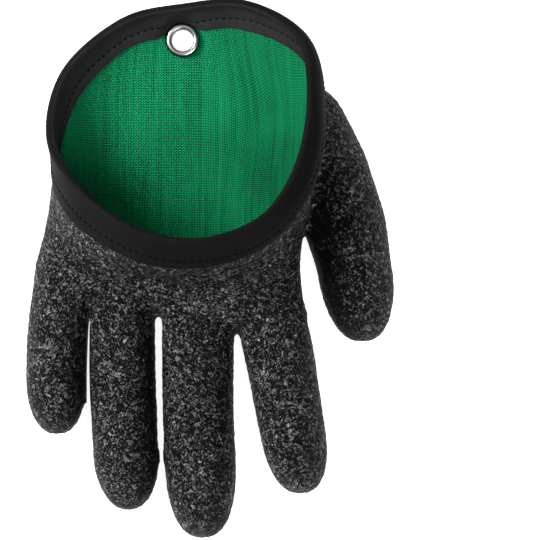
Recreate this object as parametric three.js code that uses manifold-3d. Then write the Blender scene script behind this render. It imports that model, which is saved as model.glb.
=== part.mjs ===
// A dipped work glove for holding fish: a green knitted liner inside a crinkled latex coat, a bound edge
// round its wide cuff, and a metal eyelet through the cuff's long side.
// It lies open on a flat surface, palm side down, and the cuff gapes upwards.
// Millimetres, +Z up, fingers towards -Y, cuff towards +Y, thumb on the +X side.
import * as THREE from "three";
import { mergeVertices } from "three/addons/utils/BufferGeometryUtils.js";
import Module from "manifold-3d";

const wasm = await Module();
wasm.setup();

// Walls and clearances
const COAT_WALL = 1;
const LINER_WALL = 1;
const CLEARANCE = 0.3;
const EDGE_INSET = 1; // the coat and liner end this far inside the rim
const PAST_RIM = 16; // how far the hollow's cutting shape runs out past the rim

// Palm, measured at the knuckles
const PALM_WIDTH = 105.8;
const PALM_HEIGHT = 23.6;
const PALM_SQUARENESS = 2.7; // exponent of the knuckle section: 2 is an ellipse, more is boxier
const KNUCKLE_SLANT = -0.17; // how much the knuckle line falls towards the thumb side
const KNUCKLE_NOSE = 10; // depth of the rounded web between the fingers
const LITTLE_SIDE = 0.94; // half width on the little finger's side, as a share of the thumb side's
const FLAT_SHARE = 0.14; // share of a round section's half height that the surface presses flat

// Cuff, as the opening's outline seen from above, and its highest point
const CUFF_WIDTH = 97;
const CUFF_LENGTH = 89.3;
const CUFF_HEIGHT = 52;
const CUFF_NEAR = 28; // from the middle of the knuckle line to the near edge of the opening
const CUFF_SHIFT = 4.5; // how far the opening's middle lies to the thumb side of the palm's

// Fingers: length from the knuckle line to the tip, and width
const LITTLE_LENGTH = 51;
const LITTLE_WIDTH = 23.3;
const RING_LENGTH = 75.6;
const RING_WIDTH = 25.2;
const MIDDLE_LENGTH = 81.3;
const MIDDLE_WIDTH = 27.2;
const INDEX_LENGTH = 60;
const INDEX_WIDTH = 26.2;
const FINGER_HEIGHT = 21.6;
const FINGER_ROOT = 13; // how far each finger's tube runs back into the palm
const TIP_LENGTH = 0.94; // length of a rounded tip, as a share of the finger's width
const TIP_POWER = 2.3; // exponent of a tip's outline: 2 is an ellipse, more is blunter
const TIP_SINK = 0.25; // how far a tip's middle sinks towards the surface, 1 is all the way

// Thumb: from its hidden root to its tip, as seen from above
const THUMB_REACH = 28;
const THUMB_LENGTH = 98.4;
const THUMB_WIDTH = 30;
const THUMB_HEIGHT = 24;

// Bound edge of the cuff
const BINDING_WIDTH = 12.4;
const BINDING_WALL = 1;
const BINDING_FOLD = 1.2; // how far the folded edge stands past the rim

// Eyelet
const EYELET_HOLE_RADIUS = 4.15;
const EYELET_TUBE_WALL = 0.5;
const EYELET_FLANGE_RADIUS = 6.5;
const EYELET_FLANGE_HEIGHT = 1.7;
const EYELET_LIP_WIDTH = 1.05;
const EYELET_LIP_HEIGHT = 0.7;
const EYELET_LIFT = 2.4; // height of the coat's underside round the eyelet
const EYELET_FROM_RIM = 12.64; // from the rim to the eyelet's middle, as seen from above
const EYELET_FLAT_RADIUS = 7; // cloth that the eyelet holds level
const EYELET_FLAT_FADE = 4.6;
const WASHER_HEIGHT = 0.7;

// Facets
const CUFF_SIDES = 37;
const FINGER_SIDES = 12;
const THUMB_SIDES = 14;
const EYELET_SIDES = 24;
const CURVE_STEPS = 36;

// The rim, a row for each twelfth of a turn from the thumb side over the near edge.
// across and along are shares of the opening's half width and its length, height of the cuff's height.
// leanX and leanY are the run of the bound edge seen from above, as shares of its width.
const RIM = [
  { across: 1.014, along: 0.57, height: 0.737, leanX: 0.91, leanY: -0.17 },
  { across: 0.89, along: 0.282, height: 0.885, leanX: 0.93, leanY: -0.34 },
  { across: 0.637, along: 0.091, height: 0.962, leanX: 0.56, leanY: -0.81 },
  { across: 0.188, along: 0.0, height: 1.0, leanX: 0.04, leanY: -0.93 },
  { across: -0.295, along: 0.044, height: 0.942, leanX: -0.27, leanY: -0.88 },
  { across: -0.709, along: 0.198, height: 0.731, leanX: -0.58, leanY: -0.54 },
  { across: -0.996, along: 0.425, height: 0.423, leanX: 0.18, leanY: -0.31 },
  { across: -0.898, along: 0.719, height: 0.25, leanX: 0.43, leanY: -0.42 },
  { across: -0.454, along: 0.936, height: 0.21, leanX: 0.15, leanY: -0.37 },
  { across: 0.021, along: 1.0, height: 0.21, leanX: -0.05, leanY: -0.4 },
  { across: 0.53, along: 1.007, height: 0.297, leanX: 0.12, leanY: -0.17 },
  { across: 0.943, along: 0.857, height: 0.463, leanX: 0.81, leanY: 0.07 },
];
const EYELET_TURN = 0.75;
const COLUMN_CROWDING = 0.55; // 0 spaces the columns evenly, towards 1 they crowd at the eyelet
const BINDING_ROW = 0.6; // the row part way down the bound edge, as a share of its width
const RIM_PULL = 1.35; // how far the bound edge's lean carries down the wall, as a share of its width
const KNUCKLE_PULL = 0.35; // how far the knuckles' direction carries up the wall, as a share of its length
const THUMB_TAPER = 0.44; // how much the palm's side draws in from the knuckles on, on the thumb side
const LITTLE_TAPER = 0.27; // and on the little finger's side
const KNUCKLE_RISE = 0.8; // how steeply the near wall leaves the knuckles
// Rows of the palm between the bound edge and the knuckles, as shares of what is left of the wall.
const PALM_ROWS = [0.28, 0.52, 0.76, 1];
const NOSE_TURNS = [0.38, 0.7, 0.88]; // rows of the rounded web, as shares of a quarter turn

// The fingers. root and tip are where the middle line starts and ends, as shares of the palm's half width,
// bow is its sideways bend and taper the width where the tip starts, as shares of the finger's width.
const FINGERS = [
  { length: LITTLE_LENGTH, width: LITTLE_WIDTH, root: -0.75, tip: -0.775, bow: -0.055, taper: 0.98 },
  { length: RING_LENGTH, width: RING_WIDTH, root: -0.325, tip: -0.267, bow: -0.039, taper: 0.99 },
  { length: MIDDLE_LENGTH, width: MIDDLE_WIDTH, root: 0.219, tip: 0.261, bow: -0.034, taper: 0.98 },
  { length: INDEX_LENGTH, width: INDEX_WIDTH, root: 0.763, tip: 0.955, bow: 0.03, taper: 0.94 },
];
const FINGER_ROWS = [0, 0.5, 1]; // rows of a finger before its tip, as shares of that length
const TIP_ROWS = [0.4, 0.68, 0.88, 0.975]; // rows of a tip, as shares of its length
// The thumb's fullness, a row for each station from its root: width as a share of the thumb's width.
const THUMB_ROWS = [
  { along: 0, width: 0.12 },
  { along: 0.05, width: 0.54 },
  { along: 0.13, width: 0.83 },
  { along: 0.32, width: 1.0 },
  { along: 0.58, width: 1.0 },
  { along: 0.74, width: 0.92 },
];
// Where the thumb starts, as shares of the cuff's width and length, and the bend of its middle line,
// as shares of its reach and length.
const THUMB_ROOT = { across: 0.425, along: 0.69 };
const THUMB_BEND = { across: 0.88, along: 0.5 };

const lerp = THREE.MathUtils.lerp;
const linerDepth = COAT_WALL + CLEARANCE;
const wallDepth = linerDepth + LINER_WALL;

// A column of the rim table at any turn, as a smooth closed curve through its rows.
function rimColumn(column, turn) {
  const place = (((turn % 1) + 1) % 1) * RIM.length;
  const row = Math.floor(place);
  const t = place - row;
  const [a, b, c, d] = [-1, 0, 1, 2].map((k) => RIM[(row + k + RIM.length) % RIM.length][column]);
  return b + 0.5 * t * (c - a + t * (2 * a - 5 * b + 4 * c - d + t * (3 * (b - c) + d - a)));
}

function rimPoint(turn) {
  return new THREE.Vector3(
    CUFF_SHIFT + (rimColumn("across", turn) * CUFF_WIDTH) / 2,
    CUFF_NEAR + rimColumn("along", turn) * CUFF_LENGTH,
    rimColumn("height", turn) * CUFF_HEIGHT,
  );
}

// The direction from the rim down the bound edge.
function rimLean(turn) {
  const x = rimColumn("leanX", turn);
  const y = rimColumn("leanY", turn);
  return new THREE.Vector3(x, y, -Math.sqrt(Math.max(0.02, 1 - x * x - y * y))).normalize();
}

// The knuckle section, a boxy ring pressed flat underneath, sampled evenly along its length.
function boxyRing(halfWidth, halfHeight) {
  const points = [];
  const steps = 720;
  for (let i = 0; i <= steps; i++) {
    const angle = (i / steps) * 2 * Math.PI;
    const power = 2 / PALM_SQUARENESS;
    const x = halfWidth * Math.sign(Math.cos(angle)) * Math.abs(Math.cos(angle)) ** power;
    const z = halfHeight * Math.sign(Math.sin(angle)) * Math.abs(Math.sin(angle)) ** power;
    points.push(new THREE.Vector2(x, Math.max(z, -halfHeight * (1 - FLAT_SHARE))));
  }
  const lengths = [0];
  for (let i = 1; i <= steps; i++) lengths.push(lengths[i - 1] + points[i].distanceTo(points[i - 1]));
  return (turn) => {
    const target = (((turn % 1) + 1) % 1) * lengths[steps];
    const i = Math.max(1, lengths.findIndex((length) => length >= target));
    const t = (target - lengths[i - 1]) / (lengths[i] - lengths[i - 1] || 1);
    return points[i - 1].clone().lerp(points[i], t);
  };
}

const knuckleHalfHeight = PALM_HEIGHT / (2 - FLAT_SHARE);
const knuckleMiddle = knuckleHalfHeight * (1 - FLAT_SHARE);
const knuckleRing = boxyRing(PALM_WIDTH / 2, knuckleHalfHeight);
const knuckleLine = (x) => KNUCKLE_SLANT * x;

function knucklePoint(turn) {
  const p = knuckleRing(turn);
  const x = p.x < 0 ? p.x * LITTLE_SIDE : p.x;
  return new THREE.Vector3(x, knuckleLine(x) + KNUCKLE_NOSE, p.y + knuckleMiddle);
}

const eyeletPlace = rimPoint(EYELET_TURN).add(new THREE.Vector3(0, -EYELET_FROM_RIM, 0)).setZ(EYELET_LIFT);

// Keeps the wall above the surface that it lies on, and level round the eyelet.
function settled(point) {
  const away = Math.hypot(point.x - eyeletPlace.x, point.y - eyeletPlace.y);
  const fadeEnd = EYELET_FLAT_RADIUS + EYELET_FLAT_FADE;
  const held = 1 - THREE.MathUtils.smoothstep(away, EYELET_FLAT_RADIUS, fadeEnd);
  const z = Math.max(point.z, 0);
  return point.setZ(lerp(z, EYELET_LIFT, held));
}

// The line that the wall follows from the rim to the knuckles, with the length up to each of its points.
const wallLines = new Map();
function wallLine(turn) {
  const key = turn.toFixed(6);
  if (wallLines.has(key)) return wallLines.get(key);
  const start = knucklePoint(turn);
  const end = rimPoint(turn);
  const chord = start.distanceTo(end);
  const rise = KNUCKLE_RISE * Math.max(0, Math.sin(turn * 2 * Math.PI));
  const side = Math.cos(turn * 2 * Math.PI);
  const taper = -(side > 0 ? THUMB_TAPER : LITTLE_TAPER) * side;
  const leave = new THREE.Vector3(taper, 1, rise).normalize().multiplyScalar(chord * KNUCKLE_PULL);
  const arrive = rimLean(turn).multiplyScalar(BINDING_WIDTH * RIM_PULL);
  const curve = new THREE.CubicBezierCurve3(end, end.clone().add(arrive), start.clone().add(leave), start);
  const points = curve.getPoints(CURVE_STEPS).map(settled);
  const lengths = [0];
  for (let i = 1; i < points.length; i++) lengths.push(lengths[i - 1] + points[i].distanceTo(points[i - 1]));
  const line = { points, lengths, total: lengths[lengths.length - 1] };
  wallLines.set(key, line);
  return line;
}

// A point of the coat's outer face, depth down the wall from the rim. Past either end the line runs
// on straight.
function wallPoint(turn, depth) {
  const { points, lengths } = wallLine(turn);
  let i = lengths.findIndex((length) => length > depth);
  if (i < 1) i = depth <= 0 ? 1 : lengths.length - 1;
  const t = (depth - lengths[i - 1]) / (lengths[i] - lengths[i - 1]);
  return points[i - 1].clone().lerp(points[i], t);
}

// The direction out of the glove, square to the wall.
function wallNormal(turn, depth) {
  const turnStep = 0.004;
  const depthStep = 1.5;
  const d = Math.max(depth, depthStep);
  const alongRim = wallPoint(turn + turnStep, d).sub(wallPoint(turn - turnStep, d));
  const towardsRim = wallPoint(turn, d - depthStep).sub(wallPoint(turn, d + depthStep));
  return towardsRim.cross(alongRim).normalize();
}

function wallOffset(turn, depth, out) {
  return wallPoint(turn, depth).addScaledVector(wallNormal(turn, depth), out);
}

function ringOf(sides, pointAt) {
  return Array.from({ length: sides }, (_, i) => pointAt(i / sides));
}

// Columns round the cuff, closer together on either side of the eyelet.
function cuffRing(pointAt) {
  const crowding = COLUMN_CROWDING / (2 * Math.PI);
  return ringOf(CUFF_SIDES, (t) => pointAt(t - crowding * Math.sin(2 * Math.PI * (t - EYELET_TURN))));
}

// A closed surface through rings of points, its ends closed by fans.
function loft(rings) {
  const sides = rings[0].length;
  const vertices = rings.flat();
  const triangles = [];
  for (let r = 0; r + 1 < rings.length; r++) {
    for (let i = 0; i < sides; i++) {
      const j = (i + 1) % sides;
      const [a, b, c, d] = [r * sides + i, r * sides + j, (r + 1) * sides + j, (r + 1) * sides + i];
      triangles.push(a, d, b, b, d, c);
    }
  }
  [rings[0], rings[rings.length - 1]].forEach((ring, end) => {
    const middle = ring.reduce((sum, p) => sum.add(p), new THREE.Vector3()).divideScalar(sides);
    vertices.push(middle);
    const first = end * (rings.length - 1) * sides;
    for (let i = 0; i < sides; i++) {
      const pair = [first + i, first + ((i + 1) % sides)];
      if (end) pair.reverse();
      triangles.push(vertices.length - 1, ...pair);
    }
  });
  return solid(vertices.flatMap((p) => p.toArray()), triangles);
}

function solid(numbers, triangles) {
  const mesh = new wasm.Mesh({
    numProp: 3,
    vertProperties: new Float32Array(numbers),
    triVerts: new Uint32Array(triangles),
  });
  return new wasm.Manifold(mesh);
}

// A three.js geometry as a solid, with the vertices that its seams repeat merged.
function solidOf(geometry) {
  geometry.deleteAttribute("normal");
  geometry.deleteAttribute("uv");
  const merged = mergeVertices(geometry, 1e-3);
  return solid(merged.attributes.position.array, merged.index.array);
}

// The palm and cuff, its walls taken in by inset. A hollow runs on past the rim, to open it.
function palmForm(inset, hollow) {
  const depths = (turn) => {
    const left = wallLine(turn).total - BINDING_WIDTH;
    const overEyelet = BINDING_WIDTH + EYELET_FLANGE_RADIUS + 3.5;
    const near = Math.min(overEyelet, BINDING_WIDTH + left * 0.14);
    const rows = PALM_ROWS.map((share) => BINDING_WIDTH + left * share);
    const rim = hollow ? [-PAST_RIM, EDGE_INSET] : [EDGE_INSET];
    return [...rim, BINDING_WIDTH * BINDING_ROW, BINDING_WIDTH, near, ...rows].reverse();
  };
  const rows = cuffRing((turn) => depths(turn).map((depth) => wallOffset(turn, depth, -inset)));
  const rings = rows[0].map((_, r) => rows.map((column) => column[r]));
  const knuckles = rings[0];
  const nose = NOSE_TURNS.map((share) => {
    const angle = (share * Math.PI) / 2;
    const drop = 1 - Math.cos(angle);
    return knuckles.map((p) => {
      const x = p.x * (1 - (drop * PALM_HEIGHT) / PALM_WIDTH);
      const z = lerp(p.z, knuckleMiddle, drop);
      return new THREE.Vector3(x, knuckleLine(x) + KNUCKLE_NOSE - (KNUCKLE_NOSE - inset) * Math.sin(angle), z);
    });
  });
  // A wall's own edge is square to it, up to a ring inside the hollow.
  const edge = cuffRing((turn) => wallOffset(turn, EDGE_INSET, -wallDepth - EDGE_INSET));
  return loft([...nose.reverse(), ...rings, ...(hollow ? [] : [edge])]);
}

// A round tube lying on the surface, from its tip to its root, taken in by inset.
// Each station holds its middle (x, y) and its height z, the way towards the tip (x, y), a half width
// and a half height.
function tubeForm(stations, sides, inset) {
  const rings = stations.map(({ middle, heading, halfWidth, halfHeight, z }) => {
    const side = new THREE.Vector2(-heading.y, heading.x).normalize();
    return ringOf(sides, (turn) => {
      const angle = turn * 2 * Math.PI;
      const across = halfWidth * Math.cos(angle);
      const up = z + halfHeight * Math.sin(angle);
      return new THREE.Vector3(middle.x + side.x * across, middle.y + side.y * across, Math.max(up, inset));
    });
  });
  return loft(rings.reverse());
}

// How full a rounded tip is, at a share of its length.
function tipShare(share) {
  return (1 - share ** TIP_POWER) ** (1 / TIP_POWER);
}

const fingerHalfHeight = FINGER_HEIGHT / (2 - FLAT_SHARE);
const thumbHalfHeight = THUMB_HEIGHT / (2 - FLAT_SHARE);

function fingerForm(finger, inset) {
  const halfPalm = PALM_WIDTH / 2;
  const rootX = finger.root * halfPalm;
  const tipX = finger.tip * halfPalm;
  const rootY = knuckleLine(rootX);
  const middleAt = (share) => {
    const bow = 4 * share * (1 - share) * finger.bow * finger.width;
    return new THREE.Vector2(lerp(rootX, tipX, share) + bow, rootY - finger.length * share);
  };
  const tip = TIP_LENGTH * finger.width;
  const straight = finger.length - tip;
  const rows = [
    { y: inset - FINGER_ROOT, full: 1 },
    ...FINGER_ROWS.map((share) => ({ y: share * straight, full: lerp(1, finger.taper, share) })),
    ...TIP_ROWS.map((share) => ({ y: straight + share * (tip - inset), full: finger.taper * tipShare(share) })),
  ];
  const stations = rows.map(({ y, full }) => {
    const share = y / finger.length;
    const middle = middleAt(share);
    const tipwards = y > straight ? full / finger.taper : 1;
    return {
      middle,
      heading: middleAt(share + 0.01).sub(middle),
      halfWidth: (finger.width / 2 - inset) * full,
      halfHeight: (fingerHalfHeight - inset) * tipwards,
      z: fingerHalfHeight * (1 - FLAT_SHARE) * lerp(1, tipwards, TIP_SINK),
    };
  });
  return tubeForm(stations, FINGER_SIDES, inset);
}

function thumbForm(inset) {
  const rootX = CUFF_SHIFT + THUMB_ROOT.across * CUFF_WIDTH;
  const rootY = CUFF_NEAR + THUMB_ROOT.along * CUFF_LENGTH;
  const root = new THREE.Vector2(rootX, rootY);
  const bend = new THREE.Vector2(THUMB_BEND.across * THUMB_REACH, -THUMB_BEND.along * THUMB_LENGTH).add(root);
  const end = new THREE.Vector2(THUMB_REACH, -THUMB_LENGTH).add(root);
  const line = new THREE.QuadraticBezierCurve(root, bend, end);
  const last = THUMB_ROWS[THUMB_ROWS.length - 1];
  const tip = 1 - last.along - inset / line.getLength();
  const rows = [
    { along: inset / line.getLength(), width: THUMB_ROWS[0].width },
    ...THUMB_ROWS.slice(1),
    ...TIP_ROWS.map((share) => ({ along: last.along + share * tip, width: last.width * tipShare(share) })),
  ];
  const stations = rows.map(({ along, width }) => ({
    middle: line.getPointAt(along),
    heading: line.getTangentAt(along),
    halfWidth: (THUMB_WIDTH / 2 - inset) * width,
    halfHeight: (thumbHalfHeight - inset) * width,
    z: thumbHalfHeight * (1 - FLAT_SHARE) * (along < THUMB_ROWS[3].along ? width : lerp(1, width, TIP_SINK)),
  }));
  return tubeForm(stations, THUMB_SIDES, inset);
}

// The whole hand shape, its surface taken in by inset.
function handForm(inset, hollow = false) {
  const fingers = FINGERS.map((finger) => fingerForm(finger, inset));
  return [palmForm(inset, hollow), ...fingers, thumbForm(inset)].reduce((sum, form) => sum.add(form));
}

// An upright round cutter on the eyelet's middle line.
function eyeletDrum(radius, from, to) {
  const drum = new THREE.CylinderGeometry(radius, radius, to - from, EYELET_SIDES).rotateX(Math.PI / 2);
  return solidOf(drum.translate(eyeletPlace.x, eyeletPlace.y, (from + to) / 2));
}

const flangeRadius = EYELET_FLANGE_RADIUS + CLEARANCE;
const clothHole = eyeletDrum(EYELET_HOLE_RADIUS + EYELET_TUBE_WALL + CLEARANCE, -20, 40);
const roomUnder = eyeletDrum(flangeRadius, -20, EYELET_LIFT);
const roomOver = eyeletDrum(flangeRadius, EYELET_LIFT + wallDepth, 40);

const coat = handForm(0).subtract(handForm(COAT_WALL, true)).subtract(clothHole).subtract(roomUnder);
const liner = handForm(linerDepth).subtract(handForm(wallDepth, true)).subtract(clothHole).subtract(roomOver);

// The binding: a strip folded over the rim, its section a row of (depth down the wall, distance out of it).
function bindingForm() {
  const outer = CLEARANCE + BINDING_WALL;
  const inner = -wallDepth - outer;
  const middle = (outer + inner) / 2;
  const round = (outer - middle) * 0.62;
  const section = [
    [BINDING_WIDTH, outer],
    [BINDING_WIDTH * BINDING_ROW, outer],
    [EDGE_INSET, outer],
    [0, outer],
    [-BINDING_FOLD * 0.7, middle + round],
    [-BINDING_FOLD, middle],
    [-BINDING_FOLD * 0.7, middle - round],
    [0, inner],
    [EDGE_INSET, inner],
    [BINDING_WIDTH * BINDING_ROW, inner],
    [BINDING_WIDTH, inner],
    [BINDING_WIDTH, inner + BINDING_WALL],
    [BINDING_WIDTH * BINDING_ROW, inner + BINDING_WALL],
    [EDGE_INSET, inner + BINDING_WALL],
    [EDGE_INSET - 2 * CLEARANCE, inner + BINDING_WALL],
    [EDGE_INSET - 2 * CLEARANCE, CLEARANCE],
    [EDGE_INSET, CLEARANCE],
    [BINDING_WIDTH * BINDING_ROW, CLEARANCE],
    [BINDING_WIDTH, CLEARANCE],
  ];
  const columns = cuffRing((turn) => section.map(([depth, out]) => wallOffset(turn, depth, out)));
  const count = section.length;
  const triangles = [];
  // Each quad is split along the same diagonal as the wall's, so that the clearance is even.
  for (let i = 0; i < CUFF_SIDES; i++) {
    for (let k = 0; k < count; k++) {
      const [here, next] = [i * count, ((i + 1) % CUFF_SIDES) * count];
      const [a, b, c, d] = [here + k, here + ((k + 1) % count), next + ((k + 1) % count), next + k];
      const awayFromRim = section[(k + 1) % count][0] > section[k][0];
      triangles.push(...(awayFromRim ? [a, b, c, a, c, d] : [a, b, d, b, c, d]));
    }
  }
  return solid(columns.flat().flatMap((p) => p.toArray()), triangles);
}

const binding = bindingForm().subtract(eyeletDrum(flangeRadius, -20, 40));

// The eyelet: a tube with a rounded flange inside the cuff and a rolled lip under its washer.
const flangeFoot = EYELET_LIFT + wallDepth + CLEARANCE;
const flangeTop = flangeFoot + EYELET_FLANGE_HEIGHT;
const washerTop = EYELET_LIFT - CLEARANCE;
const lipTop = washerTop - WASHER_HEIGHT - CLEARANCE;
const tubeRadius = EYELET_HOLE_RADIUS + EYELET_TUBE_WALL;

function turned(profile) {
  const points = [...profile, profile[0]].map(([r, z]) => new THREE.Vector2(r, z));
  const geometry = new THREE.LatheGeometry(points, EYELET_SIDES).rotateX(Math.PI / 2);
  return solidOf(geometry.translate(eyeletPlace.x, eyeletPlace.y, 0));
}

const flangeSpan = EYELET_FLANGE_RADIUS - EYELET_HOLE_RADIUS;
const eyelet = turned([
  [EYELET_HOLE_RADIUS, lipTop - EYELET_LIP_HEIGHT * 0.5],
  [EYELET_HOLE_RADIUS + EYELET_TUBE_WALL, lipTop - EYELET_LIP_HEIGHT],
  [tubeRadius + EYELET_LIP_WIDTH * 0.7, lipTop - EYELET_LIP_HEIGHT],
  [tubeRadius + EYELET_LIP_WIDTH, lipTop - EYELET_LIP_HEIGHT * 0.4],
  [tubeRadius + EYELET_LIP_WIDTH, lipTop],
  [tubeRadius, lipTop],
  [tubeRadius, flangeFoot],
  [EYELET_FLANGE_RADIUS, flangeFoot],
  [EYELET_FLANGE_RADIUS, flangeFoot + EYELET_FLANGE_HEIGHT * 0.5],
  [EYELET_FLANGE_RADIUS - flangeSpan * 0.18, flangeFoot + EYELET_FLANGE_HEIGHT * 0.88],
  [EYELET_FLANGE_RADIUS - flangeSpan * 0.4, flangeTop],
  [EYELET_HOLE_RADIUS + flangeSpan * 0.34, flangeTop],
  [EYELET_HOLE_RADIUS + flangeSpan * 0.1, flangeFoot + EYELET_FLANGE_HEIGHT * 0.86],
  [EYELET_HOLE_RADIUS, flangeFoot + EYELET_FLANGE_HEIGHT * 0.5],
]);
const washer = turned([
  [tubeRadius + CLEARANCE, washerTop - WASHER_HEIGHT],
  [EYELET_FLANGE_RADIUS, washerTop - WASHER_HEIGHT],
  [EYELET_FLANGE_RADIUS, washerTop],
  [tubeRadius + CLEARANCE, washerTop],
]);

function meshOf(name, form, material) {
  const { vertProperties, triVerts } = form.getMesh();
  const geometry = new THREE.BufferGeometry();
  geometry.setAttribute("position", new THREE.BufferAttribute(vertProperties, 3));
  geometry.setIndex(new THREE.BufferAttribute(triVerts, 1));
  geometry.computeVertexNormals();
  const mesh = new THREE.Mesh(geometry, material);
  mesh.name = name;
  return mesh;
}

const latex = new THREE.MeshStandardMaterial({ color: 0x2b2b2c, roughness: 0.55 });
const knit = new THREE.MeshStandardMaterial({ color: 0x0f7d46, roughness: 0.9 });
const tape = new THREE.MeshStandardMaterial({ color: 0x1f1f20, roughness: 0.85 });
const steel = new THREE.MeshStandardMaterial({ color: 0xc9cacc, roughness: 0.22, metalness: 1 });

const glove = new THREE.Group();
glove.add(
  meshOf("latex_coat", coat, latex),
  meshOf("knit_liner", liner, knit),
  meshOf("cuff_binding", binding, tape),
  meshOf("grommet_eyelet", eyelet, steel),
  meshOf("grommet_washer", washer, steel),
);

// The origin is the middle of the footprint, on the surface that the glove lies on.
const extent = new THREE.Box3().setFromObject(glove);
const middle = extent.getCenter(new THREE.Vector3());
glove.position.set(-middle.x, -middle.y, -extent.min.z);

export default glove;
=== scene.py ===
"""The looks of a dipped work glove that lies palm down with its bound cuff gaping.

The hand is lofts about the same named sizes as the CAD part. A voxel remesh fuses them, smoothing rounds
the crotches, and booleans hollow them into the coat and the liner. The tape, the stitches and the eyelet are
grids of points. Lengths are millimetres, and every mesh is scaled to metres when it is made. The materials,
the lights and the camera are in metres.
"""
import math
import bpy
import numpy as np
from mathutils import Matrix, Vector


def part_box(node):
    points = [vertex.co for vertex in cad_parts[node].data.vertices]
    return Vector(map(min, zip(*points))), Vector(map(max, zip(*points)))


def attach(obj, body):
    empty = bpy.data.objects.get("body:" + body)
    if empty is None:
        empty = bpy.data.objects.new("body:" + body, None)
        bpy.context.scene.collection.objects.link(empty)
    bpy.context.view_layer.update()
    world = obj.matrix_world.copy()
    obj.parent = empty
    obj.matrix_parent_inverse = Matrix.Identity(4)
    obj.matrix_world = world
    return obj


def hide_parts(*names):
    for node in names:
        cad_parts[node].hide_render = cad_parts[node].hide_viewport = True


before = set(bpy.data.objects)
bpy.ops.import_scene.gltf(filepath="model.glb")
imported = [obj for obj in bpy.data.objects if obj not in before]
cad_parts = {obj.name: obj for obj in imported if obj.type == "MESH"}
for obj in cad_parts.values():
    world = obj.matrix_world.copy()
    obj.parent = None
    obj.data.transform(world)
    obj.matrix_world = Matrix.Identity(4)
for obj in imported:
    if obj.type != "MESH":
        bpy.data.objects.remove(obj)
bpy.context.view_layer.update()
MM = 0.001
TAU = 2 * math.pi
random = np.random.default_rng(11)

# Walls, thinner and closer together than in the CAD part, whose own are named last
COAT_WALL, LINER_GAP, LINER_WALL = 0.9, 0.1, 0.75
WALL = COAT_WALL + LINER_GAP + LINER_WALL
CAD_WALL, CAD_CLEARANCE = 2.3, 0.3
# How far inside the rim the walls end, and how far past it the hollows run
EDGE_INSET, PAST_RIM = 1.0, 16.0

# Voxels of the remesh, and the smoothing where the hand's forms meet, in square millimetres
COAT_VOXEL, QUICK_VOXEL, LINER_VOXEL = 0.93, 1.1, 1.15
ROUNDING = 15.0
# Where the thumb leaves the palm, how far that place reaches, and the stretches over which it comes in
THUMB_MOUTH, MOUTH_REACH = (48.0, 70.0), (15.0, 17.0)
MOUTH_ACROSS, MOUTH_ALONG = (26, 36), (50, 62)
# More smoothing there, and how much fuller the thumb is made
THUMB_ROUNDING, THUMB_SWELL = 90.0, 0.3
# How far its root is pinched in all but the coat's outer face, and the shares of its length where that ends
THUMB_PINCH, PINCH_END = 0.55, (0.26, 0.5)

# The gaps between fingers that are kept open: after which finger, and where each starts and ends
SLITS = [(0, 3.0, -50.0), (1, -30.0, -70.0)]
# A slit's width, the lengths over which it doubles and over which it opens, and how far ahead it begins
SLIT_WIDTH, SLIT_SPREAD, SLIT_OPENS, SLIT_LEAD = 0.9, 45.0, 6.0, 0.3
# Its lower and upper edge
SLIT_LOW, SLIT_HIGH = -3, 30

# Wave length and height of the coat's net of wrinkles, its finer net and its broad dents
NET, FINE_NET, DENTS = (4.2, 0.17), (2.6, 0.10), (26.0, 0.16)
# Where the painted shade in the fingers' clefts ends, towards the palm and towards the thumb, and where the
# thumb's starts and ends
FINGER_CLEFTS_ALONG, FINGER_CLEFTS_ACROSS = (-8, 14), (19, 24)
THUMB_CLEFT_ACROSS, THUMB_CLEFT_ALONG = (47, 52), (62, 78)

# The hand, as in the CAD part
PALM_WIDTH, PALM_HEIGHT, PALM_SQUARENESS = 105.8, 23.6, 2.7
KNUCKLE_SLANT, KNUCKLE_NOSE, LITTLE_SIDE = -0.17, 10.0, 0.94
FLAT_SHARE = 0.14
CUFF_WIDTH, CUFF_LENGTH, CUFF_HEIGHT = 97.0, 89.3, 52.0
CUFF_NEAR, CUFF_SHIFT = 28.0, 4.5
FINGER_HEIGHT, FINGER_ROOT = 21.6, 13.0
TIP_LENGTH, TIP_SINK, TIP_POWER = 0.94, 0.25, 2.3
THUMB_REACH, THUMB_LENGTH, THUMB_WIDTH, THUMB_HEIGHT = 28.0, 98.4, 30.0, 24.0
BINDING_WIDTH, BINDING_WALL, BINDING_GAP, BINDING_FOLD = 12.4, 0.62, 0.14, 1.1
EYELET_LIFT, EYELET_FROM_RIM = 2.4, 12.64
EYELET_FLAT_RADIUS, EYELET_FLAT_FADE = 7.0, 4.6
RIM_PULL, KNUCKLE_PULL, KNUCKLE_RISE = 1.35, 0.35, 0.8
THUMB_TAPER, LITTLE_TAPER = 0.44, 0.27
EYELET_TURN = 0.75
# Radii of the eyelet's hole, tube and flange, the flange's height, and the radius that is drilled for the tube
EYELET_HOLE, EYELET_TUBE, EYELET_EDGE, EYELET_HEIGHT = 4.15, 4.65, 6.5, 1.7
DRILL = 4.9
STITCH_DEPTH, STITCH_PITCH, STITCH_LENGTH, STITCH_RADIUS = 8.0, 2.62, 1.85, 0.23
# How near the eyelet's middle the inner stitches come
STITCH_CLEAR = 7.6

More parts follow.
